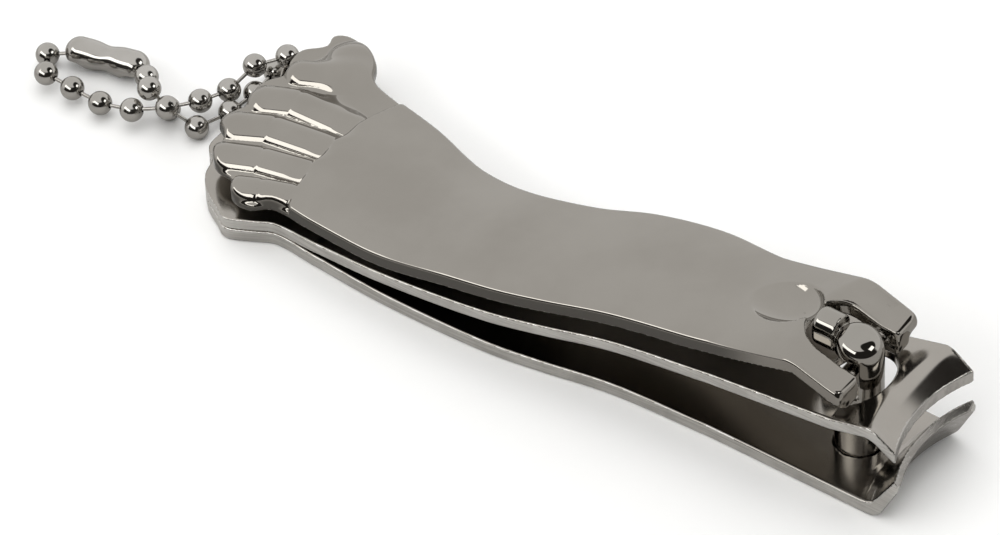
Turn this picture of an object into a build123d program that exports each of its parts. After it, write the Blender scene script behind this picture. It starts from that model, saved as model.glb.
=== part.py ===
"""Nail clipper shaped like a forearm with a thumbs-up fist, on a ball chain.

Frame: origin on the underside of the lower jaw, on the post's axis.
+X runs towards the blades, +Z up, +Y towards the thumb. Millimetres.
"""
from build123d import *
import math
import os

os.makedirs("parts", exist_ok=True)

# ---- driving dimensions ------------------------------------------------------------
LOWER_SHEET = 1.4          # thickness of the lower jaw's strip
UPPER_SHEET = 1.3          # thickness of the upper jaw's strip
LEVER_SHEET = 1.3          # thickness of the pressed lever
BLADE_HALF = 6.35          # half the width of the cutting edges
EDGE_X = 8.0               # corners of the cutting edges, along the clipper
EDGE_HOLLOW = 1.5          # how far the cutting edge curves back in the middle
FLEX_X = -58.5             # where the two strips part company
TAIL_TOP = LOWER_SHEET + UPPER_SHEET

POST_R = 2.25
POST_CLEAR = 0.05
FLANGE_R = 2.95
FLANGE_RECESS = 0.55
NECK_X = 1.1               # flat face of the post's D-shaped neck
NECK_Z = (8.4, 12.3)       # bottom and top of the notch behind the neck
HEAD_Z = 14.55             # top of the post
BEAK_R = 1.5               # round beak that hooks back over the lever's bar
BEAK_END = -2.5            # centre of the beak's ball end

BAR_X = 0.25               # the lever's bar, its rocking axis
BAR_Z = 11.55
BAR_R = 0.7
SLOT_HALF = 3.1            # half-width of the lever's post slot
SLOT_BACK = -5.4           # rear end of that slot

LUG = (-70.3, 10.5)        # chain hole in the upper strip's tail
LUG_HOLE_R = 1.85
LUG_R = 2.5

BALL_R = 1.17
BALL_WALL = 0.17
BALL_HOLE_R = 0.3
LINK_R = 0.18
LINK_BULB_R = 0.32

CONNECTOR_R = 1.5
CONNECTOR_WALL = 0.23
CONNECTOR_ENDS = ((-92.6, 1.5, 1.5), (-84.1, 3.5, 1.5))
SLIT_WIDTH = 0.5
SLIT_TOWARDS = Vector(0.1, -0.42, -0.9)
SWIVEL = 10                # degrees that the connector may turn each way

# Plan outline of the forearm, wrist to blades: near side (-Y) and far side (+Y).
NEAR_SIDE = [(-55.0, -8.35), (-46.8, -8.9), (-35.0, -8.7), (-29.5, -7.95), (-22.5, -6.75), (-12.0, -6.25)]
FAR_SIDE = [(-12.6, 6.75), (-19.8, 7.75), (-26.8, 7.15), (-32.5, 5.5), (-39.5, 4.65), (-44.9, 5.55),
            (-52.7, 8.35)]

# Plan outline of the pressed fist on the lever, from the little finger round to the thumb.
FIST = [(-61.6, -9.2), (-63.8, -9.1), (-65.2, -7.2), (-67.6, -6.7), (-69.3, -4.8), (-69.5, -3.0), (-71.0, -1.8),
        (-71.1, 0.4), (-70.6, 1.5), (-71.3, 3.4), (-71.1, 5.6), (-70.2, 7.2), (-71.0, 9.2), (-71.0, 10.9),
        (-69.4, 12.8), (-69.7, 14.2), (-68.6, 15.0), (-65.8, 14.5), (-63.6, 13.0), (-62.2, 10.9), (-59.0, 9.8)]
# Plan outline of the scalloped tail of the two strips.
TAIL = [(-61.6, -8.8), (-64.4, -9.9), (-65.9, -9.1), (-67.9, -7.9), (-69.6, -6.0), (-70.3, -4.1), (-71.7, -2.8),
        (-71.9, -0.6), (-71.7, 1.4), (-72.0, 3.6), (-71.6, 6.2), (-70.6, 8.0), (-69.0, 11.5), (-66.0, 13.0),
        (-63.0, 11.6), (-59.0, 9.5)]

# Heights of the lever's top along its middle line.
LEVER_TOP = [(-47.0, 6.25), (-39.0, 7.8), (-29.5, 9.15), (-19.0, 10.75), (-12.0, 12.0), (-3.9, 14.25)]
NOSE_TIP = (1.7, 12.2)
FIST_TOP = 5.9

# Fingers: knuckle end, cuff end and radius of each, little finger first; then the thumb.
FINGERS = [((-63.6, -7.9), (-60.6, -6.8), 1.7), ((-67.5, -5.0), (-61.0, -3.0), 2.1),
           ((-69.1, -1.0), (-61.4, 1.0), 2.3), ((-69.1, 3.5), (-61.4, 4.5), 2.35)]
THUMB = ((-65.4, 9.2), (-66.6, 12.6), 2.6)

# Ball centres, from one connector end through the lug and back to the other.
BALLS = [(-85.75, 3.1, 1.5), (-82.7, 1.6, 2.6), (-80.7, -0.4, 3.6), (-79.2, 0.4, 1.17), (-75.3, -0.2, 1.17),
         (-74.0, 3.3, 1.17), (-73.7, 6.8, 1.17), (-74.1, 10.4, 1.17), (-70.9, 10.5, 1.17), (-72.3, 10.3, 3.95),
         (-74.7, 8.2, 3.15), (-75.5, 5.1, 1.9), (-76.6, 2.1, 2.2), (-78.1, -1.0, 2.9), (-81.4, -2.4, 2.0),
         (-84.9, -2.9, 1.5), (-88.4, -2.8, 1.6), (-91.7, -2.7, 1.8), (-93.8, 0.0, 1.2), (-90.95, 1.9, 1.5)]


def save(solid, name):
    """Write one piece to its own STEP file."""
    export_step(solid, os.path.join("parts", name + ".step"))


def slab(face_points, low, high):
    """Closed smooth plan outline, raised from one height to another."""
    with BuildPart() as piece:
        with BuildSketch(Plane.XY.offset(low)):
            with BuildLine():
                outline(*face_points)
            make_face()
        extrude(amount=high - low)
    return piece.part


def outline(tail_points, front_x):
    """Closed plan line: forearm sides, square front and a smooth tail between them."""
    near_start = (-60.0, -8.05)
    far_end = (-58.0, 9.55)
    Polyline([NEAR_SIDE[-1], (front_x, -BLADE_HALF), (front_x, BLADE_HALF), FAR_SIDE[0]])
    Spline([FAR_SIDE[0]] + FAR_SIDE[1:] + [far_end], tangents=[(-1, 0.05), (-1, 0.1)])
    Spline([far_end] + tail_points[::-1] + [near_start])
    Spline([near_start] + NEAR_SIDE, tangents=[(1, -0.05), (1, 0)])


def profile_bar(points, half_width):
    """Side profile in X and Z, given as one closed polygon, as wide as the clipper."""
    with BuildPart() as piece:
        with BuildSketch(Plane.XZ):
            with BuildLine():
                Polyline(points, close=True)
            make_face()
        extrude(amount=half_width, both=True)
    return piece.part


def upright(radius, low, high, centre=(0.0, 0.0)):
    """Vertical round bar between two heights."""
    return Pos(centre[0], centre[1], (low + high) / 2) * Cylinder(radius, high - low)


# ---- cutting edge geometry -------------------------------------------------------
HOLLOW_R = (BLADE_HALF ** 2 + EDGE_HOLLOW ** 2) / (2 * EDGE_HOLLOW)
HOLLOW_X = EDGE_X - EDGE_HOLLOW + HOLLOW_R


def blade_ring(points):
    """Blade section, as distance behind the edge's arc and height, turned round the arc's centre."""
    with BuildPart() as ring:
        with BuildSketch(Plane.XZ):
            with BuildLine():
                Polyline([(HOLLOW_X - HOLLOW_R - back, z) for back, z in points], close=True)
            make_face()
        revolve(axis=Axis((HOLLOW_X, 0, 0), (0, 0, 1)), revolution_arc=360)
    keep = Pos(EDGE_X - 5.0, 0, 8) * Box(10.5, 2 * BLADE_HALF, 20)
    return ring.part & keep


def lower_jaw():
    """Flat strip whose front turns up into the lower blade."""
    plate = slab((TAIL, 4.8), 0, LOWER_SHEET)
    blade = blade_ring([(4.2, 0.0), (2.2, 0.0), (1.45, 0.5), (-0.45, 4.8), (0.0, 5.65), (2.0, 2.0), (2.6, LOWER_SHEET),
                        (4.2, LOWER_SHEET)])
    front_gap = Pos(HOLLOW_X, 0, 1) * Cylinder(HOLLOW_R + 2.2, 6)
    jaw = (plate - front_gap) + blade
    jaw -= upright(POST_R + POST_CLEAR, -1, 3)
    jaw -= upright(FLANGE_R + POST_CLEAR, -1, FLANGE_RECESS)
    jaw -= upright(LUG_R + 1.8, -1, LOWER_SHEET, LUG) & Pos(-75.4, 10.5, 0) * Box(12, 20, 10)
    return jaw


def upper_strip():
    """Upper strip's plan, tail lug included, as one tall block."""
    block = slab((TAIL, 12.0), 0, 14)
    return block + upright(LUG_R, 0, 14, LUG)


def jaw_top(x):
    """Height of the upper jaw's top face along its middle."""
    return TAIL_TOP + 0.105 * (x - FLEX_X) + 0.00018 * (x - FLEX_X) ** 2


def upper_jaw_root():
    """Tail of the upper strip, which lies flat on the lower strip and carries the chain's hole."""
    block = upper_strip() & Pos(FLEX_X - 15, 0, LOWER_SHEET + UPPER_SHEET / 2) * Box(30, 40, UPPER_SHEET)
    return block - upright(LUG_HOLE_R, 0, 5, LUG)


def upper_jaw_arm():
    """Free length of the upper strip, which springs open and turns down into the upper blade."""
    stations = [FLEX_X, -45.0, -30.0, -15.0, 0.0, 5.0]
    top = [(x, jaw_top(x)) for x in stations]
    under = [(x, jaw_top(x) - UPPER_SHEET) for x in stations]
    arm = profile_bar(top + under[::-1], 15) & upper_strip()
    arm -= Pos(HOLLOW_X, 0, 5) * Cylinder(HOLLOW_R + 2.6, 20)
    top_back = jaw_top(HOLLOW_X - HOLLOW_R - 2.6)
    arm += blade_ring([(2.6, top_back), (2.0, top_back + 0.05), (0.0, 9.05), (0.0, 7.75), (1.0, 8.1),
                       (2.6, top_back - UPPER_SHEET), (4.2, top_back - UPPER_SHEET - 0.2), (4.2, top_back - 0.2)])
    hole = Pos(0, 0, 5) * extrude(Ellipse(3.0, 4.1), 10)
    return arm - hole


def post():
    """Stud with a riveted flange, a notch behind a D-shaped neck, and a beak hooked over the bar."""
    stud = upright(FLANGE_R, 0.0, FLANGE_RECESS - 0.05) + upright(POST_R, FLANGE_RECESS - 0.1, HEAD_Z)
    notch_mid = (NECK_Z[0] + NECK_Z[1]) / 2
    stud -= Pos(NECK_X - 5, 0, notch_mid) * Box(10, 10, NECK_Z[1] - NECK_Z[0])
    beak_z = NECK_Z[1] + BEAK_R
    beak = Pos(BEAK_END / 2, 0, beak_z) * Rot(0, 90, 0) * Cylinder(BEAK_R, -BEAK_END)
    return stud + beak + Pos(BEAK_END, 0, beak_z) * Sphere(BEAK_R)


def lever():
    """Pressed lever: forearm plate, fist, bent nose with two prongs, and the bar between them."""
    wrist_top = [(-60.0, FIST_TOP), (-52.0, 5.95)] + LEVER_TOP
    crease = LEVER_TOP[-1]
    top = wrist_top + [NOSE_TIP, (2.1, 11.3), (1.7, 10.45), (1.0, 10.1), (0.3, 10.4), (0.0, 11.4)]
    under = [(x, z - LEVER_SHEET) for x, z in wrist_top[::-1]]
    under[0] = (crease[0] - 0.25, crease[1] - LEVER_SHEET - 0.1)
    arm = profile_bar(top + under, 15) & slab((FIST, 4.0), 0, 20)
    palm = slab((FIST, 4.0), FIST_TOP - LEVER_SHEET, FIST_TOP - 0.3) & Pos(-70, 0, 5) * Box(21, 40, 10)
    body = arm + palm
    for knuckle, cuff, radius in FINGERS + [THUMB]:
        body += finger(knuckle, cuff, radius)
    body -= Pos((SLOT_BACK + SLOT_HALF) + 5, 0, 12) * Box(10, 2 * SLOT_HALF, 12)
    body -= upright(SLOT_HALF, 8, 18, (SLOT_BACK + SLOT_HALF, 0))
    body += Pos(BAR_X, 0, BAR_Z) * Rot(90, 0, 0) * Cylinder(BAR_R, 2 * SLOT_HALF + 1.0)
    return body


def finger(start, end, radius):
    """Rounded finger standing proud of the fist, flattened underneath."""
    run = math.dist(start, end)
    turn = math.degrees(math.atan2(end[1] - start[1], end[0] - start[0]))
    sink = FIST_TOP + 0.75 - radius
    body = Rot(0, 90, 0) * Cylinder(radius, run) + Pos(run / 2, 0, 0) * Sphere(radius)
    body += Pos(-run / 2, 0, 0) * Sphere(radius)
    placed = Pos((start[0] + end[0]) / 2, (start[1] + end[1]) / 2, sink) * Rot(0, 0, turn) * body
    return placed & Pos(-66, 0, FIST_TOP + 3.7) * Box(30, 60, 10)


def ball(index):
    """Hollow chain ball with a hole towards each neighbour."""
    centre = Vector(*BALLS[index])
    neighbours = [Vector(*BALLS[i]) - centre for i in (index - 1, index + 1) if 0 <= i < len(BALLS)]
    first, last = neighbours[0], neighbours[-1]
    pole = first.cross(last) if len(neighbours) == 2 else first.cross(Vector(0, 0, 1))
    seam = pole.cross(first)
    seam = seam * (-1 if seam.dot(last) > 0 else 1)
    body = Plane(origin=centre, z_dir=pole, x_dir=seam) * (Sphere(BALL_R) - Sphere(BALL_R - BALL_WALL))
    for towards in neighbours:
        body -= Plane(origin=centre, z_dir=towards) * Pos(0, 0, BALL_R) * Cylinder(BALL_HOLE_R, BALL_R)
    return body


def link(index):
    """Dumb-bell pin between two neighbouring balls, a bulb inside each."""
    start, end = BALLS[index], BALLS[index + 1]
    run = math.dist(start, end)
    reach = run - 2 * (BALL_R - BALL_WALL - LINK_BULB_R - 0.04)
    pin = Cylinder(LINK_R, reach)
    for side in (-1, 1):
        pin += Pos(0, 0, side * reach / 2) * Sphere(LINK_BULB_R)
    return Plane(origin=start, z_dir=Vector(*end) - Vector(*start)) * Pos(0, 0, run / 2) * pin


def connector():
    """Split tube round the chain's two end balls: slit and entry mouths underneath, a window for each pin."""
    start, end = Vector(*CONNECTOR_ENDS[0]), Vector(*CONNECTOR_ENDS[1])
    middle = (start + end) * 0.5
    along = (end - start).normalized()
    run = (end - start).length
    tube = Cylinder(CONNECTOR_R, run - 2 * CONNECTOR_R)
    core = Cylinder(CONNECTOR_R - CONNECTOR_WALL, run - 2 * CONNECTOR_R)
    for side in (-1, 1):
        tip = Pos(0, 0, side * (run / 2 - CONNECTOR_R))
        tube += tip * Sphere(CONNECTOR_R)
        core += tip * Sphere(CONNECTOR_R - CONNECTOR_WALL)
    shell = tube - core
    shell -= Pos(0, -CONNECTOR_R, 0) * Box(SLIT_WIDTH, 2 * CONNECTOR_R, run - 2 * CONNECTOR_R)
    for side in (-1, 1):
        entry = Pos(0, -CONNECTOR_R, side * (run / 2 - CONNECTOR_R)) * Rot(90, 0, 0)
        shell -= entry * Cylinder(BALL_R + 0.05, 2 * CONNECTOR_R)
    shell = Plane(origin=middle, z_dir=along, x_dir=SLIT_TOWARDS.cross(along) * -1) * shell
    for inner, outer in ((0, 1), (-1, -2)):
        centre = Vector(*BALLS[inner])
        pin = Vector(*BALLS[outer]) - centre
        for turn in range(-SWIVEL, SWIVEL + 1, SWIVEL // 2):
            aim = pin.rotate(Axis((0, 0, 0), along), turn)
            shell -= Plane(origin=centre, z_dir=aim) * Pos(0, 0, 1.6) * Cylinder(LINK_R + 0.1, 2.4)
    return shell


save(lower_jaw(), "lower_jaw")
save(upper_jaw_root(), "upper_jaw_root")
save(upper_jaw_arm(), "upper_jaw_arm")
save(post(), "post")
save(lever(), "lever")
save(connector(), "chain_connector")
for number in range(len(BALLS)):
    save(ball(number), f"ball_{number + 1:02d}")
for number in range(len(BALLS) - 1):
    save(link(number), f"link_{number + 1:02d}")
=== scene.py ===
"""Looks of the nail clipper: polished black-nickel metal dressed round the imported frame.

Lengths inside the shaping code are millimetres in the frame's own axes: +X towards the blades,
+Y towards the thumb, +Z up. They become metres when a mesh is made.
"""
import itertools
import logging
import math
from dataclasses import dataclass, field
from enum import Enum
from typing import Callable, ClassVar, Sequence

import bpy
import numpy as np
from mathutils import Matrix, Vector

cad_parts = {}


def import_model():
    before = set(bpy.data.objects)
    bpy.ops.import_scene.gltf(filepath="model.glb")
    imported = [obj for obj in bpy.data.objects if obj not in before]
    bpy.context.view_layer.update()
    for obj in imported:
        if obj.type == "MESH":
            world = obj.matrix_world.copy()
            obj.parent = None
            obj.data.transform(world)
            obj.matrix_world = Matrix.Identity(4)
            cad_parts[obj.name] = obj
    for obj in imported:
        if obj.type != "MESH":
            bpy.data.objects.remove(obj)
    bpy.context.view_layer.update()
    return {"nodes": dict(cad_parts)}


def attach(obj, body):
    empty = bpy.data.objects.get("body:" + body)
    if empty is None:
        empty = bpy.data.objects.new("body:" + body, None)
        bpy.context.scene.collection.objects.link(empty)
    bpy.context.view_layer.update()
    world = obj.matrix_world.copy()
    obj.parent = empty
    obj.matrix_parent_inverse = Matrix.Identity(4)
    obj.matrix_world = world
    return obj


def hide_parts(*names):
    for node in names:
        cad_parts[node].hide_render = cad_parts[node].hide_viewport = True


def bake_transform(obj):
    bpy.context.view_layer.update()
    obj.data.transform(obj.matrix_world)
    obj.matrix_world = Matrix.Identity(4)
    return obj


LOG = logging.getLogger("nail_clipper")
MM = 0.001

Array = np.ndarray
Pair = tuple[float, float]
Triple = tuple[float, float, float]
Distance = Callable[[Array, Array, Array], Array]
Picker = Callable[[Array, Array], Array]


# --- shader building
class Wire:
    """A shader socket that takes part in sums, so that expressions lay their own Math nodes."""

    def __init__(self, graph: "Graph", socket: bpy.types.NodeSocket) -> None:
        """Keep the socket and the graph that it belongs to."""
        self.graph = graph
        self.socket = socket

    def _math(self, operation: str, first: "Wire | float", second: "Wire | float") -> "Wire":
        """Lay one Math node on two values."""
        return self.graph.add("ShaderNodeMath", {"operation": operation}, {0: first, 1: second})

    def __add__(self, other: "Wire | float") -> "Wire":
        """Sum."""
        return self._math("ADD", self, other)

    __radd__ = __add__

    def __sub__(self, other: "Wire | float") -> "Wire":
        """Difference."""
        return self._math("SUBTRACT", self, other)

    def __rsub__(self, other: float) -> "Wire":
        """Difference from a number."""
        return self._math("SUBTRACT", other, self)

    def __mul__(self, other: "Wire | float") -> "Wire":
        """Product."""
        return self._math("MULTIPLY", self, other)

    __rmul__ = __mul__

    def at_most(self, other: "Wire | float") -> "Wire":
        """The lower of two values."""
        return self._math("MINIMUM", self, other)

    def at_least(self, other: "Wire | float") -> "Wire":
        """The higher of two values."""
        return self._math("MAXIMUM", self, other)


class Graph:
    """A node tree, with one method that lays any node."""

    def __init__(self, tree: bpy.types.NodeTree) -> None:
        """Start from an empty tree."""
        self.tree = tree
        tree.nodes.clear()

    def add(self, kind: str, settings: dict | None = None, inputs: dict | None = None,
            output: int | str = 0) -> Wire:
        """Lay a node, set it and join its sockets.

        Args:
            kind: The node's type name.
            settings: Its settings; "stops" holds a ramp's (place, colour) pairs.
            inputs: Socket name or number to a number, a colour or a wire.
            output: Which of its outputs to hand back.

        Returns:
            That output as a wire.
        """
        node = self.tree.nodes.new(kind)
        for name, value in (settings or {}).items():
            if name == "stops":
                self._ramp(node, value)
            else:
                setattr(node, name, value)
        for name, value in (inputs or {}).items():
            if isinstance(value, Wire):
                self.tree.links.new(value.socket, node.inputs[name])
            else:
                node.inputs[name].default_value = value
        return Wire(self, node.outputs[output] if len(node.outputs) else node.inputs[0])

    @staticmethod
    def _ramp(node: bpy.types.Node, stops: Sequence[tuple]) -> None:
        """Give a colour ramp its stops.

        Args:
            node: The ramp.
            stops: (place, colour) pairs in order.
        """
        elements = node.color_ramp.elements
        while len(elements) < len(stops):
            elements.new(0.5)
        for element, (place, colour) in zip(elements, stops):
            element.position = place
            element.color = colour

    def place(self) -> Wire:
        """Position on the piece, in metres."""
        return self.add("ShaderNodeTexCoord", output="Object")

    def stretched(self, scale: Triple, turn: float = 0.0) -> Wire:
        """Position on the piece, scaled along each axis and turned about Z in radians."""
        return self.add("ShaderNodeMapping", {}, {
            "Vector": self.place(), "Rotation": (0, 0, turn), "Scale": scale})

    def part_of(self, vector: Wire, axis: str) -> Wire:
        """One of a vector's three numbers, by its letter."""
        return self.add("ShaderNodeSeparateXYZ", {}, {"Vector": vector}, axis)

    def along(self, vector: Wire, axis: Sequence[float]) -> Wire:
        """How far a vector reaches along an axis."""
        return self.add("ShaderNodeVectorMath", {"operation": "DOT_PRODUCT"},
                        {0: vector, 1: tuple(axis)}, "Value")

    def noise(self, where: Wire, scale: float, detail: float = 2.0, rough: float = 0.5) -> Wire:
        """Cloudy noise from 0 to 1, with so many clouds per metre and finer layers."""
        return self.add("ShaderNodeTexNoise", {},
                        {"Vector": where, "Scale": scale, "Detail": detail, "Roughness": rough})

    def spread(self, value: Wire, low: float, high: float, to_low: float = 0.0,
               to_high: float = 1.0) -> Wire:
        """Stretch a range of values over another, smoothly and clamped.

        Args:
            value: What is stretched.
            low: Start of the range read.
            high: End of the range read.
            to_low: Result at the start.
            to_high: Result at the end.

        Returns:
            The stretched value.
        """
        return self.add("ShaderNodeMapRange", {"interpolation_type": "SMOOTHSTEP"},
                        {"Value": value, "From Min": low, "From Max": high,
                         "To Min": to_low, "To Max": to_high})

    def blend(self, share: Wire, first: "tuple | Wire", second: "tuple | Wire") -> Wire:
        """Two colours mixed, with a given share of the second."""
        return self.add("ShaderNodeMix", {"data_type": "RGBA"},
                        {0: share, 6: first, 7: second}, 2)

    def bump(self, height: Wire, strength: float, depth: float) -> Wire:
        """Normal bent by a height from 0 to 1, of a strength and a depth in metres."""
        return self.add("ShaderNodeBump", {}, {
            "Height": height, "Strength": strength, "Distance": depth})

    def surface(self, **inputs: object) -> Wire:
        """Principled surface with the sockets given, spaces written as underscores."""
        return self.add("ShaderNodeBsdfPrincipled", {}, {
            name.replace("_", " "): value for name, value in inputs.items()})


def blank_material(name: str) -> tuple[bpy.types.Material, Graph]:
    """Make a material with an empty node tree.

    Args:
        name: The material's name.

    Returns:
        The material and its graph.
    """
    made = bpy.data.materials.new(name)
    made.use_nodes = True
    return made, Graph(made.node_tree)


def opaque(colour: Sequence[float], share: float = 1.0) -> tuple:
    """A colour, scaled by a share, with full alpha."""
    return (*(share * level for level in colour), 1.0)


# --- finishes
@dataclass(frozen=True)
class PlatedNickel:
    """Dark polished nickel plate, with faint smudges and hairline scratches.

    Steep faces keep only a set share of the tint, up to a set length in metres along the piece:
    painted shade on the sides.
    The sizes of clouds, waves and hairs are counts per metre.
    """

    name: str
    tint: Triple = (0.315, 0.298, 0.272)
    deep_tint: Triple = (0.285, 0.268, 0.243)
    gloss: float = 0.055
    smudge: float = 0.05
    ripple: float = 0.12
    side_shade_share: float = 1.0
    side_shade_end: float = 0.0
    side_shade_fade: float = 0.006
    side_shade_tilt: Pair = (0.2, 0.45)
    cloud_size: float = 90.0
    wave_size: float = 260.0
    hair_size: Triple = (60.0, 2400.0, 2400.0)
    crossing_size: Triple = (2100.0, 80.0, 2100.0)
    hair_turn: float = 0.35
    crossing_turn: float = -0.2
    scratch_gloss: float = 0.06
    relief: float = 0.00002

    def material(self) -> bpy.types.Material:
        """Build the material.

        Returns:
            The material.
        """
        made, graph = blank_material(self.name)
        where = graph.place()
        clouds = graph.noise(where, self.cloud_size, 4.0, 0.55)
        hairs = graph.noise(graph.stretched(self.hair_size, self.hair_turn), 1.0)
        crossing = graph.noise(graph.stretched(self.crossing_size, self.crossing_turn), 1.0)
        scratch = graph.spread(hairs.at_least(crossing), 0.70, 0.80)
        tint = graph.blend(graph.spread(clouds, 0.3, 0.7), opaque(self.deep_tint),
                           opaque(self.tint))
        # Painted shade: faces steeper than the set tilt, behind the set end along the piece, take a
        # darker copy of the tint.
        normal = graph.add("ShaderNodeTexCoord", output="Normal")
        lit = graph.spread(graph.part_of(normal, "Z"), *self.side_shade_tilt)
        ahead = graph.part_of(where, "X")
        lit = lit.at_least(graph.spread(ahead, self.side_shade_end - self.side_shade_fade, self.side_shade_end))
        smudges = self.smudge * graph.spread(clouds, 0.45, 0.75)
        relief = graph.noise(where, self.wave_size, 1.0) * 0.8 + scratch * 0.2
        shader = graph.surface(
            Base_Color=graph.blend(lit, opaque(self.tint, self.side_shade_share), tint),
            Metallic=1.0,
            Roughness=self.gloss + smudges + self.scratch_gloss * scratch,
            Normal=graph.bump(relief, self.ripple, self.relief))
        graph.add("ShaderNodeOutputMaterial", {}, {"Surface": shader})
        return made


@dataclass(frozen=True)
class ShearedEdge:
    """Satin side of a stamped strip, drawn with fine lines along the cut; sizes are per metre."""

    name: str
    tint: Triple = (0.72, 0.705, 0.675)
    dark_tint: Triple = (0.54, 0.525, 0.50)
    gloss: float = 0.26
    along: Triple = (150.0, 150.0, 5200.0)
    pit_size: float = 2600.0
    wear_size: float = 420.0
    pit_gloss: float = 0.16
    relief: float = 0.00004

    def material(self) -> bpy.types.Material:
        """Build the material.

        Returns:
            The material.
        """
        made, graph = blank_material(self.name)
        lines = graph.noise(graph.stretched(self.along), 1.0, 3.0, 0.65)
        pits = graph.noise(graph.place(), self.pit_size, 3.0, 0.7)
        wear = graph.noise(graph.place(), self.wear_size, 3.0)
        share = graph.spread(lines * 0.7 + wear * 0.3, 0.36, 0.62)
        shader = graph.surface(
            Base_Color=graph.blend(share, opaque(self.dark_tint), opaque(self.tint)),
            Metallic=1.0,
            Roughness=self.gloss + self.pit_gloss * pits,
            Normal=graph.bump(lines * 0.7 + pits * 0.3, 0.35, self.relief))
        graph.add("ShaderNodeOutputMaterial", {}, {"Surface": shader})
        return made


@dataclass(frozen=True)
class StagePaper:
    """Matt white paper for the floor, which polished metal mirrors in a darker tone."""

    name: str = "stage_paper"
    white: Triple = (0.96, 0.96, 0.955)
    mirrored: Triple = (0.56, 0.552, 0.54)
    grain_size: float = 900.0
    grain_shade: float = 0.985

    def material(self) -> bpy.types.Material:
        """Build the material.

        Returns:
            The material.
        """
        made, graph = blank_material(self.name)
        grain = graph.noise(graph.place(), self.grain_size, 3.0)
        tint = graph.blend(grain, opaque(self.white), opaque(self.white, self.grain_shade))
        matt = {"Roughness": 0.9, "Specular_IOR_Level": 0.1}
        paper = graph.surface(Base_Color=tint, **matt)
        # Painted reflection: glossy rays see the paper in this darker tone instead of its own
        # white.
        shade = graph.surface(Base_Color=opaque(self.mirrored), **matt)
        seen_in_metal = graph.add("ShaderNodeLightPath", output="Is Glossy Ray")
        mixed = graph.add("ShaderNodeMixShader", {}, {0: seen_in_metal, 1: paper, 2: shade})
        graph.add("ShaderNodeOutputMaterial", {}, {"Surface": mixed})
        return made


class Finish(Enum):
    """The finishes on the clipper."""

    # Painted shade: the plate's steep sides behind x = -5 mm keep 0.36 of its tint.
    PLATE = PlatedNickel("plated_nickel", side_shade_share=0.36, side_shade_end=-0.005)
    STRIP = PlatedNickel("strip_nickel", (0.375, 0.355, 0.325), (0.32, 0.30, 0.275), 0.13, 0.08)
    EDGE = ShearedEdge("sheared_edge")
    GROUND = ShearedEdge("ground_blade", (0.50, 0.485, 0.46), (0.36, 0.345, 0.325), 0.17,
                         (4200.0, 260.0, 700.0))
    # Painted light: a much lighter tint than the plate, and rougher, on the lever's down-facing
    # faces, lifting the shade in the gap under it.
    INSIDE = PlatedNickel("underside_nickel_painted_light", (0.56, 0.54, 0.51), (0.44, 0.425, 0.40), 0.32, 0.08)
    HEAD = PlatedNickel("turned_nickel", (0.36, 0.345, 0.32), (0.31, 0.295, 0.27),
                        0.045, 0.03, 0.08)
    BEAD = PlatedNickel("bead_nickel", (0.47, 0.455, 0.43), (0.37, 0.355, 0.33),
                        0.10, 0.08, 0.2)

    def cached(self) -> bpy.types.Material:
        """The one material of this finish, made when first asked for."""
        return bpy.data.materials.get(self.value.name) or self.value.material()


# --- solids as distances
def join(first: Array, second: Array, soft: float) -> Array:
    """Union of two solids with a soft seam.

    Args:
        first: Signed distance to one.
        second: Signed distance to the other.
        soft: Width of the seam.

    Returns:
        Signed distance to both together.
    """
    seam = np.maximum(soft - np.abs(first - second), 0.0) / soft
    return np.minimum(first, second) - seam * seam * soft / 4


def meet(first: Array, second: Array, soft: float) -> Array:
    """Part shared by two solids, its edge rounded over a width."""
    return -join(-first, -second, soft)


def cut(solid: Array, tool: Array, soft: float) -> Array:
    """What is left of a solid when a tool is taken out of it."""
    return meet(solid, -tool, soft)


def curve_through(points: Sequence[Pair], step: float = 0.45) -> Array:
    """Smooth open line through points, on centripetal spans.

    Args:
        points: Points in order.
        step: Rough spacing of the result.

    Returns:
        Points along the line.
    """
    knots = np.array(points, float)
    knots = np.vstack([2 * knots[0] - knots[1], knots, 2 * knots[-1] - knots[-2]])
    line = []
    for a, b, c, d in zip(knots, knots[1:], knots[2:], knots[3:]):
        spans = [math.sqrt(max(np.linalg.norm(q - p), 1e-6)) for p, q in ((a, b), (b, c), (c, d))]
        times = np.cumsum([0.0] + spans)
        count = max(2, int(np.linalg.norm(c - b) / step))
        t = np.linspace(times[1], times[2], count, endpoint=False)[:, None]

        def between(p: Array, q: Array, start: float, end: float) -> Array:
            """Point part of the way from one to another."""
            return ((end - t) * p + (t - start) * q) / (end - start)

        ab = between(a, b, times[0], times[1])
        bc = between(b, c, times[1], times[2])
        cd = between(c, d, times[2], times[3])
        abc = between(ab, bc, times[0], times[2])
        bcd = between(bc, cd, times[1], times[3])
        line.append(between(abc, bcd, times[1], times[2]))
    return np.vstack(line + [knots[-2][None]])


class Outline:
    """A closed line in a plane, and the signed distance to it."""

    def __init__(self, line: Array) -> None:
        """Keep the line's corners and its runs."""
        self.start = np.asarray(line, np.float32)
        self.run = np.roll(self.start, -1, axis=0) - self.start
        self.square = np.maximum((self.run ** 2).sum(1), 1e-9)

    def distance(self, u: Array, v: Array) -> Array:
        """Signed distance to the line, negative inside.

        Args:
            u: First coordinate.
            v: Second coordinate.

        Returns:
            The distance, in the two coordinates' common shape.
        """
        u, v = np.broadcast_arrays(np.asarray(u, np.float32), np.asarray(v, np.float32))
        nearest = np.full(u.shape, 1e9, np.float32)
        inside = np.zeros(u.shape, bool)
        for (a, b), (ru, rv), square in zip(self.start, self.run, self.square):
            du, dv = u - a, v - b
            share = np.clip((du * ru + dv * rv) / square, 0, 1)
            nearest = np.minimum(nearest, (du - share * ru) ** 2 + (dv - share * rv) ** 2)
            if rv:
                over = (b > v) != (b + rv > v)
                inside ^= over & (du < ru * dv / rv)
        return np.where(inside, -1, 1) * np.sqrt(nearest)


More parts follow.
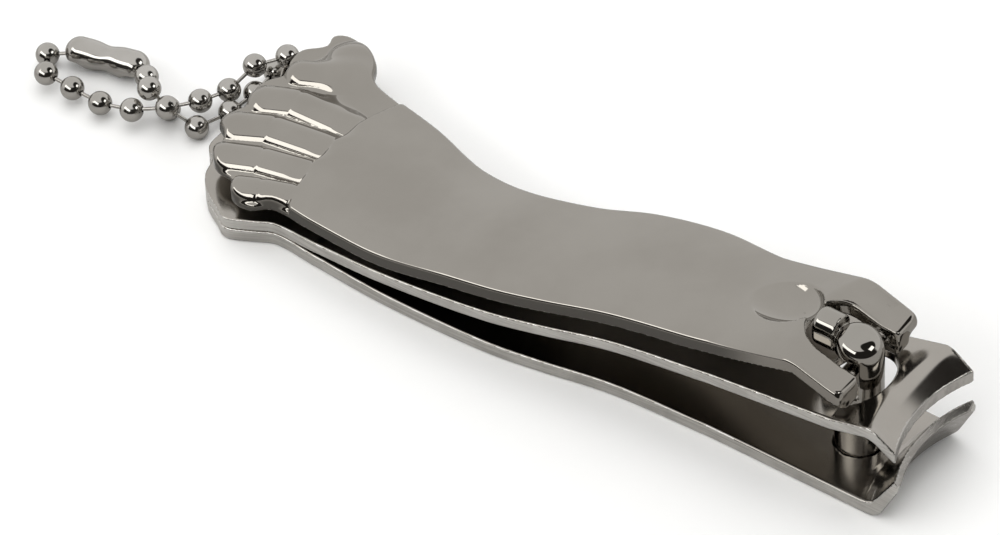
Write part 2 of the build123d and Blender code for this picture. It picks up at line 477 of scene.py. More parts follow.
def capsule(x: Array, y: Array, z: Array, ends: tuple, radius: float) -> Array:
    """Signed distance to a round-ended rod.

    Args:
        x, y, z: Places asked about.
        ends: The rod's two end centres.
        radius: Its radius.

    Returns:
        The distance.
    """
    start = np.array(ends[0], float)
    run = np.array(ends[1], float) - start
    dx, dy, dz = x - start[0], y - start[1], z - start[2]
    share = np.clip((dx * run[0] + dy * run[1] + dz * run[2]) / (run @ run), 0, 1)
    apart = (dx - share * run[0]) ** 2 + (dy - share * run[1]) ** 2 + (dz - share * run[2]) ** 2
    return np.sqrt(apart) - radius


def bowl(x: Array, y: Array, z: Array, centre: Sequence[float], half: Sequence[float]) -> Array:
    """Rough signed distance to an ellipsoid, true along Z.

    Args:
        x, y, z: Places asked about.
        centre: The ellipsoid's centre.
        half: Its half sizes.

    Returns:
        The distance.
    """
    level = [((place - c) / h) ** 2 for place, c, h in zip((x, y, z), centre, half)]
    return (np.sqrt(level[0] + level[1] + level[2]) - 1) * half[2]


@dataclass
class Mould:
    """Casts a solid given by its signed distance as a smooth closed mesh."""

    low: Triple
    high: Triple
    cell: float = 0.22
    settle: int = 3
    probe: float = 0.015

    def cast(self, name: str, distance: Distance) -> bpy.types.Object:
        """Make the mesh object.

        Args:
            name: The piece's name.
            distance: Signed distance to the solid.

        Returns:
            The object, in metres.
        """
        points, faces = self._net(distance)
        for _ in range(self.settle):
            slope, value = self._slope(distance, points)
            step = value / np.maximum((slope ** 2).sum(1), 0.2)
            points -= slope * np.clip(step, -self.cell, self.cell)[:, None]
        slope, _ = self._slope(distance, points)
        normals = slope / np.maximum(np.linalg.norm(slope, axis=1), 1e-9)[:, None]
        mesh = bpy.data.meshes.new(name)
        mesh.from_pydata((points * MM).tolist(), [], faces.tolist())
        mesh.polygons.foreach_set("use_smooth", np.ones(len(mesh.polygons), bool))
        mesh.normals_split_custom_set_from_vertices(normals.tolist())
        made = bpy.data.objects.new(name, mesh)
        bpy.context.scene.collection.objects.link(made)
        return made

    def _net(self, distance: Distance) -> tuple[Array, Array]:
        """Find the cells that the skin passes through and join them up.

        Args:
            distance: Signed distance to the solid.

        Returns:
            The points and the four-sided faces.
        """
        axes = [np.arange(a - 2 * self.cell, b + 3 * self.cell, self.cell)
                for a, b in zip(self.low, self.high)]
        x, y, z = axes[0][:, None, None], axes[1][None, :, None], axes[2][None, None, :]
        value = np.array(np.broadcast_to(distance(x, y, z), [len(a) for a in axes]), np.float32)
        solid = value < 0
        count = np.zeros([n - 1 for n in solid.shape], np.int8)
        for i, j, k in itertools.product((0, 1), repeat=3):
            count += solid[i:i + count.shape[0], j:j + count.shape[1], k:k + count.shape[2]]
        cells = np.argwhere((count > 0) & (count < 8))
        number = np.full(count.shape, -1, np.int64)
        number[tuple(cells.T)] = np.arange(len(cells))
        total, hits = np.zeros((len(cells), 3)), np.zeros(len(cells))
        for axis in range(3):
            for first, second in itertools.product((0, 1), repeat=2):
                start = np.insert([first, second], axis, 0)
                end = np.insert([first, second], axis, 1)
                a, b = value[tuple((cells + start).T)], value[tuple((cells + end).T)]
                crossed = (a < 0) != (b < 0)
                share = np.where(crossed, a / np.where(crossed, a - b, 1), 0)
                total += (start + share[:, None] * (end - start)) * crossed[:, None]
                hits += crossed
        origin = np.array([a[0] for a in axes])
        points = (cells + total / hits[:, None]) * self.cell + origin
        return points, self._faces(solid, number)

    @staticmethod
    def _faces(solid: Array, number: Array) -> Array:
        """Lay a face across every grid edge that leaves the solid.

        Args:
            solid: Which grid points are inside.
            number: The point number of each cell.

        Returns:
            The faces, wound outwards.
        """
        faces = []
        for axis in range(3):
            u, v = (axis + 1) % 3, (axis + 2) % 3
            ahead = np.roll(solid, -1, axis)
            crossed = np.argwhere(solid != ahead)
            keep = (crossed > 0) & (crossed < np.array(solid.shape) - 1)
            keep[:, axis] = crossed[:, axis] < solid.shape[axis] - 1
            crossed = crossed[keep.all(axis=1)]
            corners = []
            for back_u, back_v in ((1, 1), (0, 1), (0, 0), (1, 0)):
                cell = crossed.copy()
                cell[:, u] -= back_u
                cell[:, v] -= back_v
                corners.append(number[tuple(cell.T)])
            quad = np.stack(corners, 1)
            outward = solid[tuple(crossed.T)]
            faces.append(np.where(outward[:, None], quad, quad[:, ::-1]))
        return np.vstack(faces)

    def _slope(self, distance: Distance, points: Array) -> tuple[Array, Array]:
        """Gradient and value of the distance at points.

        Args:
            distance: Signed distance to the solid.
            points: Where to read it.

        Returns:
            The gradients and the values.
        """
        columns = []
        for axis in range(3):
            shift = np.zeros(3)
            shift[axis] = self.probe
            ahead, behind = (points + shift).T, (points - shift).T
            columns.append((distance(*ahead) - distance(*behind)) / (2 * self.probe))
        return np.stack(columns, 1), distance(*points.T)


def dress(piece: bpy.types.Object, finishes: Sequence[Finish],
          pick: Picker | None = None) -> None:
    """Give each face of a piece one of several finishes.

    Args:
        piece: The object.
        finishes: Its finishes.
        pick: Takes face centres (mm) and normals, and returns each face's finish number; without
            it every face takes the first finish.
    """
    mesh = piece.data
    mesh.materials.clear()
    for finish in finishes:
        mesh.materials.append(finish.cached())
    if pick is None:
        return
    centres, normals = np.empty(3 * len(mesh.polygons)), np.empty(3 * len(mesh.polygons))
    mesh.polygons.foreach_get("center", centres)
    mesh.polygons.foreach_get("normal", normals)
    chosen = pick(centres.reshape(-1, 3) / MM, normals.reshape(-1, 3))
    mesh.polygons.foreach_set("material_index", chosen.astype(np.int32))
    mesh.update()


class CastPiece:
    """A piece cast from its `distance`, which stands for nodes of the frame."""

    name: ClassVar[str]
    nodes: ClassVar[tuple[str, ...]]
    body: ClassVar[str]
    slot: ClassVar[str]
    box: ClassVar[tuple]
    finishes: ClassVar[tuple[Finish, ...]]
    pick: Picker | None = None

    def build(self) -> bpy.types.Object:
        """Cast and dress the piece, and put it in its nodes' place.

        Returns:
            The object.
        """
        made = Mould(*self.box, self.cell).cast(self.name, self.distance)
        dress(made, self.finishes, self.pick)
        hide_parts(*self.nodes)
        self.carry(made)
        return made

    def carry(self, made: bpy.types.Object) -> None:
        """Let the object ride on its body."""
        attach(made, self.body)


# --- the clipper
BLADE_HALF = 6.35
CUFF = (-58, 9.55)
NEAR_SIDE = [(-55, -8.35), (-46.8, -8.9), (-35, -8.7), (-29.5, -7.95), (-22.5, -6.75),
             (-12, -6.25)]
FAR_SIDE = [(-12.6, 6.75), (-19.8, 7.75), (-26.8, 7.15), (-32.5, 5.5), (-39.5, 4.65),
            (-44.9, 5.55), (-52.7, 8.35)]
STRIP_TAIL = [CUFF, (-59, 9.5), (-63, 11.6), (-66, 13), (-69, 11.5), (-70.6, 8),
              (-71.6, 6.2), (-72, 3.6), (-71.7, 1.4), (-71.9, -0.6), (-71.7, -2.8),
              (-70.3, -4.1), (-69.6, -6), (-67.9, -7.9), (-65.9, -9.1), (-64.4, -9.9),
              (-61.6, -8.8), (-60, -8.05)]
FIST_TAIL = [CUFF, (-59, 9.8), (-62.2, 10.9), (-63.6, 13), (-65.8, 14.5), (-68.6, 15),
             (-69.7, 14.2), (-69.4, 12.8), (-71, 10.9), (-71, 9.2), (-70.2, 7.2),
             (-71.1, 5.6), (-71.3, 3.4), (-70.6, 1.5), (-71.1, 0.4), (-71, -1.8),
             (-69.5, -3), (-69.3, -4.8), (-67.6, -6.7), (-65.2, -7.2), (-63.8, -9.1),
             (-61.6, -9.2), (-60, -8.05)]
LUG = (-70.3, 10.5)


@dataclass
class Blade:
    """Shared shape of the two cutting ends: an edge hollowed along a wide arc."""

    half: float = BLADE_HALF
    edge_x: float = 8.0
    hollow: float = 1.5

    def back(self, x: Array, y: Array) -> Array:
        """Distance behind the cutting edge's arc.

        Args:
            x, y: Places asked about.

        Returns:
            The distance, positive behind the edge.
        """
        radius = (self.half ** 2 + self.hollow ** 2) / (2 * self.hollow)
        centre = self.edge_x - self.hollow + radius
        return np.sqrt((x - centre) ** 2 + y ** 2) - radius


def clipper_plan(tail: Sequence[Pair], front: float) -> Outline:
    """Plan outline of the clipper: forearm sides, square front and a shaped tail.

    Args:
        tail: Points round the tail, from the far side to the near side.
        front: X of the square front.

    Returns:
        The outline.
    """
    sides = curve_through(FAR_SIDE + list(tail) + NEAR_SIDE)
    return Outline(np.vstack([[(front, -BLADE_HALF), (front, BLADE_HALF)], sides]))


def strip_finish(plan: Outline, blade: Blade, reach: float, lean: float) -> Picker:
    """Chooser of the finishes on a strip: 0 for plate, 1 for a sheared side, 2 for ground edge.

    Args:
        plan: The strip's plan outline.
        blade: Its blade.
        reach: How far behind the edge the ground faces run.
        lean: How much they lean forwards at least.

    Returns:
        The chooser.
    """
    def pick(centre: Array, normal: Array) -> Array:
        """Number of each face's finish."""
        x, y = centre[:, 0], centre[:, 1]
        side = (np.abs(normal[:, 2]) < 0.6) & (plan.distance(x, y) > -0.12)
        return np.where(side, 1, np.where((blade.back(x, y) < reach) & (normal[:, 0] > lean), 2, 0))

    return pick


STRIP_FINISHES = (Finish.STRIP, Finish.EDGE, Finish.GROUND)


@dataclass
class LowerJaw(CastPiece):
    """Flat strip with a scalloped tail, whose front turns up into the lower blade.

    `turn_up` is the section near the blade, as (distance behind the edge, height) pairs.
    """

    name = "lower_strip"
    nodes = ("lower_jaw",)
    body = "jaws"
    slot = "strip_steel"
    box = ((-72.2, -10.2, 0), (9.0, 13.2, 5.7))
    finishes = STRIP_FINISHES
    sheet: float = 1.4
    front: float = 8.24
    blade: Blade = field(default_factory=Blade)
    turn_up: tuple = ((3.0, 0), (2.2, 0.08), (1.6, 0.5), (1.25, 1.0), (-0.45, 4.8), (0.0, 5.65),
                      (1.75, 2.5), (2.25, 1.8), (2.9, 1.45), (3.4, 1.4))
    reach: float = 90.0
    post_hole: float = 2.3
    flange_hole: float = 3.0
    flange_depth: float = 0.55
    relief: float = 4.3
    relief_x: float = -69.4
    cell: float = 0.18

    def __post_init__(self) -> None:
        """Lay out the plan and the section along the strip."""
        self.plan = clipper_plan(STRIP_TAIL, self.front)
        section = [(self.reach, 0), *self.turn_up, (self.reach, self.sheet)]
        self.section = Outline(np.array(section))
        self.pick = strip_finish(self.plan, self.blade, 1.2, 0.2)

    def distance(self, x: Array, y: Array, z: Array) -> Array:
        """Signed distance to the jaw.

        Args:
            x, y, z: Places asked about.

        Returns:
            The distance.
        """
        ring = np.hypot(x, y)
        body = self.section.distance(self.blade.back(x, y), z)
        body = meet(body, self.plan.distance(x, y), 0.3)
        body = cut(body, ring - self.post_hole, 0.15)
        body = cut(body, np.maximum(ring - self.flange_hole, z - self.flange_depth), 0.1)
        room = np.maximum(np.hypot(x - LUG[0], y - LUG[1]) - self.relief, x - self.relief_x)
        return cut(body, room, 0.2)


@dataclass
class UpperJaw(CastPiece):
    """Sprung strip that lies on the lower one at the tail and turns down into the upper blade.

    The strip's top rises from `flex_x` by `climb` times the run and its square. The blade's back
    starts at `blade_top` over the edge and its underside at `blade_under`.
    """

    name = "upper_strip"
    nodes = ("upper_jaw_root", "upper_jaw_arm")
    slot = "strip_steel"
    box = ((-73.0, -10.2, 1.4), (8.1, 13.2, 11.0))
    finishes = STRIP_FINISHES
    sheet: float = 1.3
    rest_on: float = 1.4
    flex_x: float = -58.5
    flex_soft: float = 0.8
    climb: Pair = (0.105, 0.00018)
    blade: Blade = field(default_factory=Blade)
    blade_top: float = 9.05
    blade_under: float = 7.75
    blade_drop: float = 0.97
    blade_run: float = 2.05
    corner_lift: float = 0.65
    post_hole: Pair = (3.0, 4.1)
    lug_radius: float = 2.5
    lug_hole: float = 1.85
    cell: float = 0.18

    def __post_init__(self) -> None:
        """Lay out the plan, which runs past the blade's own edge."""
        self.plan = clipper_plan(STRIP_TAIL, 12.0)
        self.pick = strip_finish(self.plan, self.blade, 0.12, 0.3)

    def top(self, x: Array) -> Array:
        """Height of the strip's top at x."""
        run = np.logaddexp(0, (x - self.flex_x) / self.flex_soft) * self.flex_soft
        return self.rest_on + self.sheet + self.climb[0] * run + self.climb[1] * run ** 2

    def distance(self, x: Array, y: Array, z: Array) -> Array:
        """Signed distance to the jaw.

        Args:
            x, y, z: Places asked about.

        Returns:
            The distance.
        """
        back = self.blade.back(x, y)
        rise = self.corner_lift * (np.clip(y, -7, 7) / self.blade.half) ** 4
        top = self.top(x) + rise * np.clip((x - 1) / 4, 0, 1)
        slope = (self.blade_drop + rise) / self.blade_run
        blade_back = (z - self.blade_top - slope * back) / np.sqrt(1 + slope ** 2)
        upper = meet((z - top) * 0.99, blade_back, 0.5)
        blade_under = (self.blade_under + (slope - 0.1) * back - z) * 0.9
        lower = join((top - self.sheet - z) * 0.99, blade_under, 0.6)
        body = meet(meet(upper, lower, 0.12), -back, 0.1)
        from_lug = np.hypot(x - LUG[0], y - LUG[1])
        body = meet(body, join(self.plan.distance(x, y), from_lug - self.lug_radius, 0.6), 0.3)
        body = cut(body, from_lug - self.lug_hole, 0.2)
        hole = (np.hypot(x / self.post_hole[0], y / self.post_hole[1]) - 1) * 3.2
        return cut(body, np.where(x < -20, 5.0, hole), 0.25)

    def carry(self, made: bpy.types.Object) -> None:
        """Keep the jaw where it was cast, its place baked into the mesh."""
        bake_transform(made)


@dataclass
class Lever(CastPiece):
    """Pressed lever: crowned forearm, fist with a thumb, bent nose with two prongs and a bar.

    Each of the fingers is its start, its crease, its end and its radius.
    """

    name = "pressed_lever"
    nodes = ("lever",)
    body = "lever"
    slot = "lever_steel"
    box = ((-71.6, -9.7, 3.8), (2.3, 15.3, 15.0))
    finishes = (Finish.PLATE, Finish.INSIDE)
    sheet: float = 1.3
    spine: tuple = ((-66, 5.9), (-60, 5.9), (-52, 5.95), (-47, 6.25), (-39, 7.8),
                    (-29.5, 9.15), (-19, 10.75), (-12, 12), (-3.9, 14.25), (0, 15.45),
                    (4, 16.6))
    crown: float = 0.55
    crease: Pair = (-3.9, 14.25)
    nose_slope: float = 0.34
    nose_x: float = 2.05
    nose_dish: float = 0.012
    cuff: Pair = (-59.65, 0.022)
    slot_half: float = 3.1
    slot_back: float = -5.15
    bar: Triple = (0.25, 11.55, 0.7)
    palm: float = 5.5
    finger_rise: float = 0.8
    groove: float = 0.4
    fingers: tuple = (((-63.7, -8), (-61.9, -7.2), (-59.3, -6.3), 1.7),
                      ((-67.6, -5.2), (-64.4, -3.9), (-59.4, -2.8), 2.1),
                      ((-69.2, -1.3), (-66.2, 0.1), (-59.2, 1.1), 2.3),
                      ((-69.1, 3.2), (-66.4, 4.3), (-60.2, 4.5), 2.35))
    thumb_tip: tuple = (((-68.6, 8, 4.3), (-64.6, 10, 4.2)), 2)
    thumb_ball: tuple = (((-62.6, 8.6, 1.9), (-66, 12.4, 2.2)), 3.9)
    tip_x: float = 0.35
    tip_z: Pair = (10.1, 12.9)
    tip_half: float = 5.25
    scoop: tuple = ((-9, 0.7, 14.15), (4.3, 3.1, 1.9))
    dimples: tuple = ((-60.2, -4.0), (-60.4, -0.4), (-60.3, 3.2))
    dimple_rise: float = 3.12
    dimple_radius: float = 2.55
    cell: float = 0.2

    def __post_init__(self) -> None:
        """Lay out the plan and the height of the back."""
        self.plan = clipper_plan(FIST_TAIL, 4.0)
        self.back_line = curve_through(self.spine, 0.4)
        near = [(-60.0, -8.05)] + NEAR_SIDE + [(-3.0, -6.3), (6.0, -BLADE_HALF)]
        far = [(6.0, BLADE_HALF), (-3.0, 6.4)] + FAR_SIDE + [CUFF, (-60, 9.9)]
        self.near = curve_through(near, 0.6)
        self.far = curve_through(far, 0.6)[::-1]

    def top(self, x: Array, y: Array) -> Array:
        """Height of the crowned back.

        Args:
            x, y: Places asked about.

        Returns:
            The height.
        """
        near = np.interp(x, self.near[:, 0], self.near[:, 1])
        far = np.interp(x, self.far[:, 0], self.far[:, 1])
        across = (2 * y - near - far) / (far - near)
        lift = self.crown * (1 - np.clip(across ** 2, 0, 1.3))
        return np.interp(x, self.back_line[:, 0], self.back_line[:, 1]) + lift

    def distance(self, x: Array, y: Array, z: Array) -> Array:
        """Signed distance to the lever.

        Args:
            x, y, z: Places asked about.

        Returns:
            The distance.
        """
        top = self.top(x, y)
        nose = self.crease[1] + 0.1 - self.nose_slope * (x - self.crease[0])
        nose = nose + self.nose_dish * y * y
        under = np.minimum(top, nose + 0.05) - self.sheet - self.crown * 0.6
        sleeve = meet((z - top) * 0.97, (z - nose) * 0.94, 0.6)
        sleeve = meet(sleeve, self.cuff[0] + self.cuff[1] * (y - 0.5) ** 2 - x, 0.35)
        groove = self.groove * np.clip(np.maximum((7.0 - y) / 2, (-63.0 - x) / 2), 0, 1)
        shell = join(sleeve, np.maximum(z - self.palm + groove, x + 55), 0.15)
        shell = join(shell, self.knuckles(x, y, z), 0.2)
        under = np.where(x < -56, np.minimum(under, self.palm - self.sheet), under)
        shell = meet(shell, (under - z) * 0.97, 0.3)
        shell = join(shell, self.foot(x, y, z), 0.5)
        shell = meet(shell, x - self.nose_x, 0.7)
        shell = meet(shell, self.plan.distance(x, y), 0.45)
        shell = self.openings(shell, x, y, z)
        bar_x, bar_z, bar_radius = self.bar
        rod = np.hypot(x - bar_x, z - bar_z) - bar_radius
        return join(shell, np.maximum(rod, np.abs(y) - self.slot_half - 0.4), 0.2)

    def knuckles(self, x: Array, y: Array, z: Array) -> Array:
        """Signed distance to the four curled fingers and the thumb.

        Args:
            x, y, z: Places asked about.

        Returns:
            The distance.
        """
        solid = np.full(np.broadcast(x, y, z).shape, 9.0)
        for start, crease, end, radius in self.fingers:
            level = self.palm + self.finger_rise - radius
            gap = 0.5 * (np.array(end) - np.array(start)) / math.dist(start, end)
            first = capsule(x, y, z, ((*start, level), (*(np.array(crease) - gap), level)), radius)
            second = capsule(x, y, z, ((*(np.array(crease) + gap), level), (*end, level)), radius)
            solid = join(solid, np.minimum(first, second), 0.12)
        solid = join(solid, capsule(x, y, z, *self.thumb_tip), 0.2)
        return join(solid, capsule(x, y, z, *self.thumb_ball), 1.6)

    def foot(self, x: Array, y: Array, z: Array) -> Array:
        """Signed distance to the two down-turned tips of the nose.

        Args:
            x, y, z: Places asked about.

        Returns:
            The distance.
        """
        low, high = self.tip_z
        outer = np.abs(y) - self.tip_half - 0.42 * np.clip(z - 11.2, 0, 2.2)
        lump = meet(np.maximum(self.tip_x - x, low - z), z - high, 0.5)
        return meet(meet(lump, outer, 0.4), self.slot_half - np.abs(y), 0.3)

    def openings(self, shell: Array, x: Array, y: Array, z: Array) -> Array:
        """Cut the post's slot, the scoop behind it and the fingertip dimples.

        Args:
            shell: Signed distance to the lever before.
            x, y, z: Places asked about.

        Returns:
            The distance after.
        """
        centre = self.slot_back + self.slot_half
        slot = np.where(x > centre, np.abs(y), np.hypot(x - centre, y)) - self.slot_half
        shell = cut(shell, np.where(x < -20, 9.0, slot), 0.3)
        shell = cut(shell, bowl(x, y, z, *self.scoop), 0.12)
        for spot in self.dimples:
            middle = (*spot, self.palm + self.dimple_rise)
            shell = cut(shell, bowl(x, y, z, middle, [self.dimple_radius] * 3), 0.5)
        return shell

    @staticmethod
    def pick(_: Array, normal: Array) -> Array:
        """Which finish each face takes: 1 on the inside, which faces down and takes a lighter tint
        as painted light, and 0 elsewhere.
        """
        return np.where(normal[:, 2] < -0.5, 1, 0)


@dataclass
class Post(CastPiece):
    """Turned stud: riveted flange, shaft, notched neck, domed cap and rearward beak."""

    name = "turned_post"
    nodes = ("post",)
    body = "post"
    slot = "post_steel"
    box = ((-4.5, -3, 0), (3, 3, 15.4))
    finishes = (Finish.HEAD,)
    radius: float = 2.25
    flange: float = 2.95
    flange_top: float = 0.5
    neck_x: float = 1.1
    notch: Pair = (8.4, 12.7)
    cap_z: float = 14.5
    cap_tilt: float = 0.13
    cap_dome: float = 0.055
    beak_z: float = 13.8
    beak_low: float = 13.1
    beak_radius: float = 1.5
    beak_end: float = -4.3
    beak_root: float = -1.9
    cell: float = 0.13

    def distance(self, x: Array, y: Array, z: Array) -> Array:
        """Signed distance to the post.

        Args:
            x, y, z: Places asked about.

        Returns:
            The distance.
        """
        ring = np.hypot(x, y)
        cap = z - self.cap_z + self.cap_tilt * x + self.cap_dome * ring ** 2
        shaft = meet(meet(ring - self.radius, cap, 1.5), 0.3 - z, 0.1)
        notch = meet(meet(x - self.neck_x, self.notch[0] - z, 0.2), z - self.notch[1], 0.2)
        shaft = cut(shaft, notch, 0.2)
        over, below = np.maximum(z - self.beak_z, 0), np.minimum(z - self.beak_low, 0)
        beak = np.hypot(y, over + below) - self.beak_radius
        beak = meet(meet(beak, self.beak_end - x, 0.6), x - self.beak_root, 0.3)
        flange = meet(meet(ring - self.flange, z - self.flange_top, 0.15), 0.02 - z, 0.15)
        return join(join(shaft, beak, 0.1), flange, 0.1)


@dataclass
class Connector(CastPiece):
    """Waisted split tube round the chain's two end balls, with a window for each pin.

    Each of the pins is its own end ball's centre and the centre of the ball beyond it.
    """

    name = "snap_connector"
    nodes = ("chain_connector",)
    body = "connector"
    slot = "chain_steel"
    box = ((-94.3, -0.2, 0.0), (-82.4, 5.2, 3.0))
    finishes = (Finish.BEAD,)
    ends: tuple = ((-92.6, 1.5, 1.5), (-84.1, 3.5, 1.5))
    radius: float = 1.5
    wall: float = 0.23
    waist: float = 0.24
    slit: float = 0.25
    mouth: float = 1.22
    slit_towards: Triple = (0.1, -0.42, -0.9)
    pins: tuple = (((-85.75, 3.1, 1.5), (-82.7, 1.6, 2.6)),
                   ((-90.95, 1.9, 1.5), (-93.8, 0.0, 1.2)))
    window: float = 0.28
    window_reach: Pair = (0.9, 2.8)
    swing: tuple = (-10, -5, 0, 5, 10)
    cell: float = 0.075

    def __post_init__(self) -> None:
        """Work out the tube's own axes: along it, towards its slit and across."""
        start, end = np.array(self.ends[0]), np.array(self.ends[1])
        length = np.linalg.norm(end - start)
        along = (end - start) / length
        opening = np.array(self.slit_towards)
        opening -= along * (opening @ along)
        opening /= np.linalg.norm(opening)
        self.axes = (along, opening, np.cross(along, opening))
        self.middle = (start + end) / 2
        self.straight = length / 2 - self.radius

    def distance(self, x: Array, y: Array, z: Array) -> Array:
        """Signed distance to the tube.

        Args:
            x, y, z: Places asked about.

        Returns:
            The distance.
        """
        place = [x - self.middle[0], y - self.middle[1], z - self.middle[2]]
        a, o, s = (sum(c * w for c, w in zip(place, axis)) for axis in self.axes)
        beyond = np.abs(a) - self.straight
        ring = np.hypot(o, s) + self.waist * np.exp(-a ** 2)
        tip = np.hypot(np.maximum(beyond, 0), ring)
        shell = np.abs(tip - self.radius + self.wall / 2) - self.wall / 2
        slit = np.maximum(np.abs(s) - self.slit, beyond)
        entry = np.hypot(beyond, s) - self.mouth
        shell = np.where(o > 0, meet(meet(shell, -slit, 0.08), -entry, 0.08), shell)
        for rod in self.windows():
            shell = np.maximum(shell, -capsule(x, y, z, rod, self.window))
        return shell

    def windows(self) -> list[tuple[Array, Array]]:
        """Rods that sweep out the room for the pins.

        Returns:
            The two ends of each rod.
        """
        rods = []
        near, far = self.window_reach
        for ball, outer in self.pins:
            for turn in self.swing:
                spin = Matrix.Rotation(math.radians(turn), 3, Vector(self.axes[0]))
                aim = np.array((spin @ (Vector(outer) - Vector(ball))).normalized())
                rods.append((np.array(ball) + near * aim, np.array(ball) + far * aim))
        return rods


@dataclass
class BallChain:
    """Hollow balls and the pins between them, kept as they are in the frame and dressed."""

    nodes: dict

    def build(self) -> int:
        """Give every ball and pin its finish.

        Returns:
            How many pieces were dressed.
        """
        done = 0
        for name, node in self.nodes.items():
            if name.startswith(("ball_", "link_")):
                for place in node.material_slots:
                    place.material = Finish.BEAD.cached()
                done += 1
        return done


@dataclass(frozen=True)
class SkyPatch:
    """Soft round patch of the sky, 1 inside its inner angle and 0 past its outer one."""

    towards: Triple
    inner: float
    outer: float

    def mask(self, graph: Graph, aim: Wire) -> Wire:
        """Lay the patch.

        Args:
            graph: The world's graph.
            aim: The direction looked at.

        Returns:
            The patch's share.
        """
        facing = graph.along(aim, Vector(self.towards).normalized())
        low, high = (math.cos(math.radians(angle)) for angle in (self.outer, self.inner))
        return graph.spread(facing, low, high)


@dataclass(frozen=True)
class SoftBox:
    """Soft-edged rectangle of the sky about a heading and a rise, half sizes as sines."""

    heading: float
    rise: float
    half_width: float
    half_height: float
    fade: float = 0.025

    def mask(self, graph: Graph, aim: Wire) -> Wire:
        """Lay the rectangle.

        Args:
            graph: The world's graph.
            aim: The direction looked at.

        Returns:
            The rectangle's share.
        """
        turn, lift = math.radians(self.heading), math.radians(self.rise)
        flat = Vector((math.cos(turn), math.sin(turn), 0)) * math.cos(lift)
        centre = flat + Vector((0, 0, math.sin(lift)))
        across = Vector((-math.sin(turn), math.cos(turn), 0))
        mask = graph.spread(graph.along(aim, centre), 0.0, 0.1)
        for axis, half in ((across, self.half_width), (centre.cross(across), self.half_height)):
            reach = graph.add("ShaderNodeMath", {"operation": "ABSOLUTE"},
                              {0: graph.along(aim, axis)})
            mask = mask * graph.spread(reach, half, half + self.fade, 1.0, 0.0)
        return mask


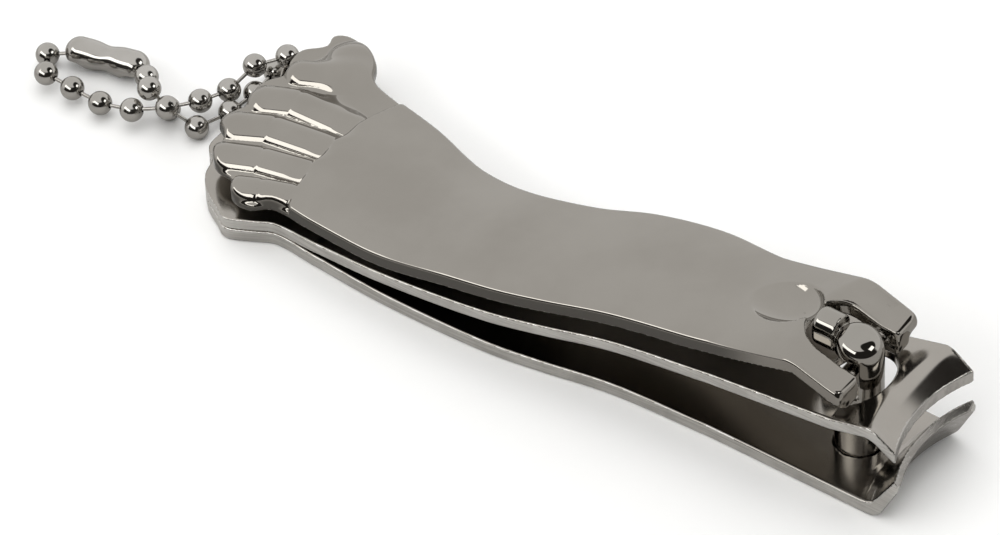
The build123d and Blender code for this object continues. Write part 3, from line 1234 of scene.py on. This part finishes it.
@dataclass
class Studio:
    """Pale floor, bright tent with a dark opening and two soft boxes, a lamp and the camera."""

    eye: Triple = (0.209319, -0.316969, 0.380806)
    heading: float = 0.666
    tilt: float = 0.755
    roll: float = -0.05
    lens: float = 216.0
    tent_tone: Triple = (1.04, 1.035, 1.025)
    room_tone: Triple = (0.035, 0.033, 0.03)
    box_tone: Triple = (3.4, 3.4, 3.35)
    room_height: Pair = (0.69, 0.75)
    room: SkyPatch = SkyPatch((0.618, -0.786, 0.0), 76, 86)
    ceiling_gap: SkyPatch = SkyPatch((0.60, 0.25, 0.76), 25, 29)
    boxes: tuple[SoftBox, ...] = (SoftBox(-106, 37, 0.52, 0.13), SoftBox(21, 37, 0.17, 0.13))
    floor_reach: float = 2.2
    floor_rings: int = 24
    floor_spokes: int = 64
    floor_drop: float = 0.00002
    lamp_seat: Triple = (0.0, 0.1, 1.1)
    lamp_size: float = 1.4
    lamp_power: float = 4.0

    def build(self) -> None:
        """Set the whole stage."""
        self.floor()
        self.tent()
        self.lamp()
        self.camera()
        bpy.context.scene.view_settings.view_transform = "Standard"

    def floor(self) -> None:
        """Lay a slightly swept sheet of paper under the clipper."""
        rings, spokes = self.floor_rings, self.floor_spokes
        turns = [2 * math.pi * k / spokes for k in range(spokes)]
        points = [(0.0, 0.0, 0.0)]
        faces = [(0, 1 + k, 1 + (k + 1) % spokes) for k in range(spokes)]
        for ring in range(1, rings + 1):
            reach = self.floor_reach * (ring / rings) ** 1.5
            level = -self.floor_drop - 0.001 * reach ** 2
            points += [(reach * math.cos(turn), reach * math.sin(turn), level) for turn in turns]
        for ring in range(rings - 1):
            for k in range(spokes):
                a, b = 1 + ring * spokes + k, 1 + ring * spokes + (k + 1) % spokes
                faces.append((a, a + spokes, b + spokes, b))
        mesh = bpy.data.meshes.new("floor_sheet")
        mesh.from_pydata(points, [], faces)
        mesh.polygons.foreach_set("use_smooth", [True] * len(faces))
        mesh.materials.append(StagePaper().material())
        sheet = bpy.data.objects.new("floor_sheet", mesh)
        bpy.context.scene.collection.objects.link(sheet)

    def tent(self) -> None:
        """Light the scene from a white tent with a dark opening and two bright boxes."""
        world = bpy.data.worlds.new("light_tent")
        bpy.context.scene.world = world
        world.use_nodes = True
        graph = Graph(world.node_tree)
        aim = graph.add("ShaderNodeTexCoord", output="Generated")
        low = graph.spread(graph.part_of(aim, "Z"), *self.room_height, 1.0, 0.0)
        dark = (low * self.room.mask(graph, aim)).at_least(self.ceiling_gap.mask(graph, aim))
        colour = graph.blend(dark, opaque(self.tent_tone), opaque(self.room_tone))
        for box in self.boxes:
            colour = graph.blend(box.mask(graph, aim), colour, opaque(self.box_tone))
        shade = graph.add("ShaderNodeBackground", {}, {"Color": colour, "Strength": 1.0})
        graph.add("ShaderNodeOutputWorld", {}, {"Surface": shade})

    def lamp(self) -> None:
        """Hang a wide lamp that brightens matt paper only."""
        light = bpy.data.lights.new("paper_lamp", "AREA")
        light.shape = "DISK"
        light.size = self.lamp_size
        light.energy = self.lamp_power
        seat = bpy.data.objects.new("paper_lamp", light)
        seat.location = self.lamp_seat
        seat.visible_glossy = False
        bpy.context.scene.collection.objects.link(seat)

    def camera(self) -> None:
        """Stand the camera."""
        flat = Vector((math.cos(self.heading), math.sin(self.heading), 0))
        away = Vector((math.sin(self.heading), -math.cos(self.heading), 0))
        back = away * math.cos(self.tilt) + Vector((0, 0, math.sin(self.tilt)))
        rise = back.cross(flat)
        right = math.cos(self.roll) * flat + math.sin(self.roll) * rise
        up = math.cos(self.roll) * rise - math.sin(self.roll) * flat
        data = bpy.data.cameras.new("viewer")
        data.sensor_width = 36.0
        data.lens = self.lens
        data.clip_start = 0.01
        seat = bpy.data.objects.new("viewer", data)
        turn = Matrix((right, up, back)).transposed().to_4x4()
        seat.matrix_world = Matrix.Translation(self.eye) @ turn
        bpy.context.scene.collection.objects.link(seat)
        bpy.context.scene.camera = seat


def main() -> None:
    """Build every sub-assembly in order and report each piece."""
    logging.basicConfig(level=logging.INFO, format="%(name)s %(message)s")
    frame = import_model()
    for part in (LowerJaw(), UpperJaw(), Lever(), Post(), Connector()):
        piece = part.build()
        LOG.info("%s: %d faces", piece.name, len(piece.data.polygons))
    LOG.info("chain: %d balls and pins dressed", BallChain(frame["nodes"]).build())
    Studio().build()
    LOG.info("studio set")


if __name__ == "__main__":
    main()
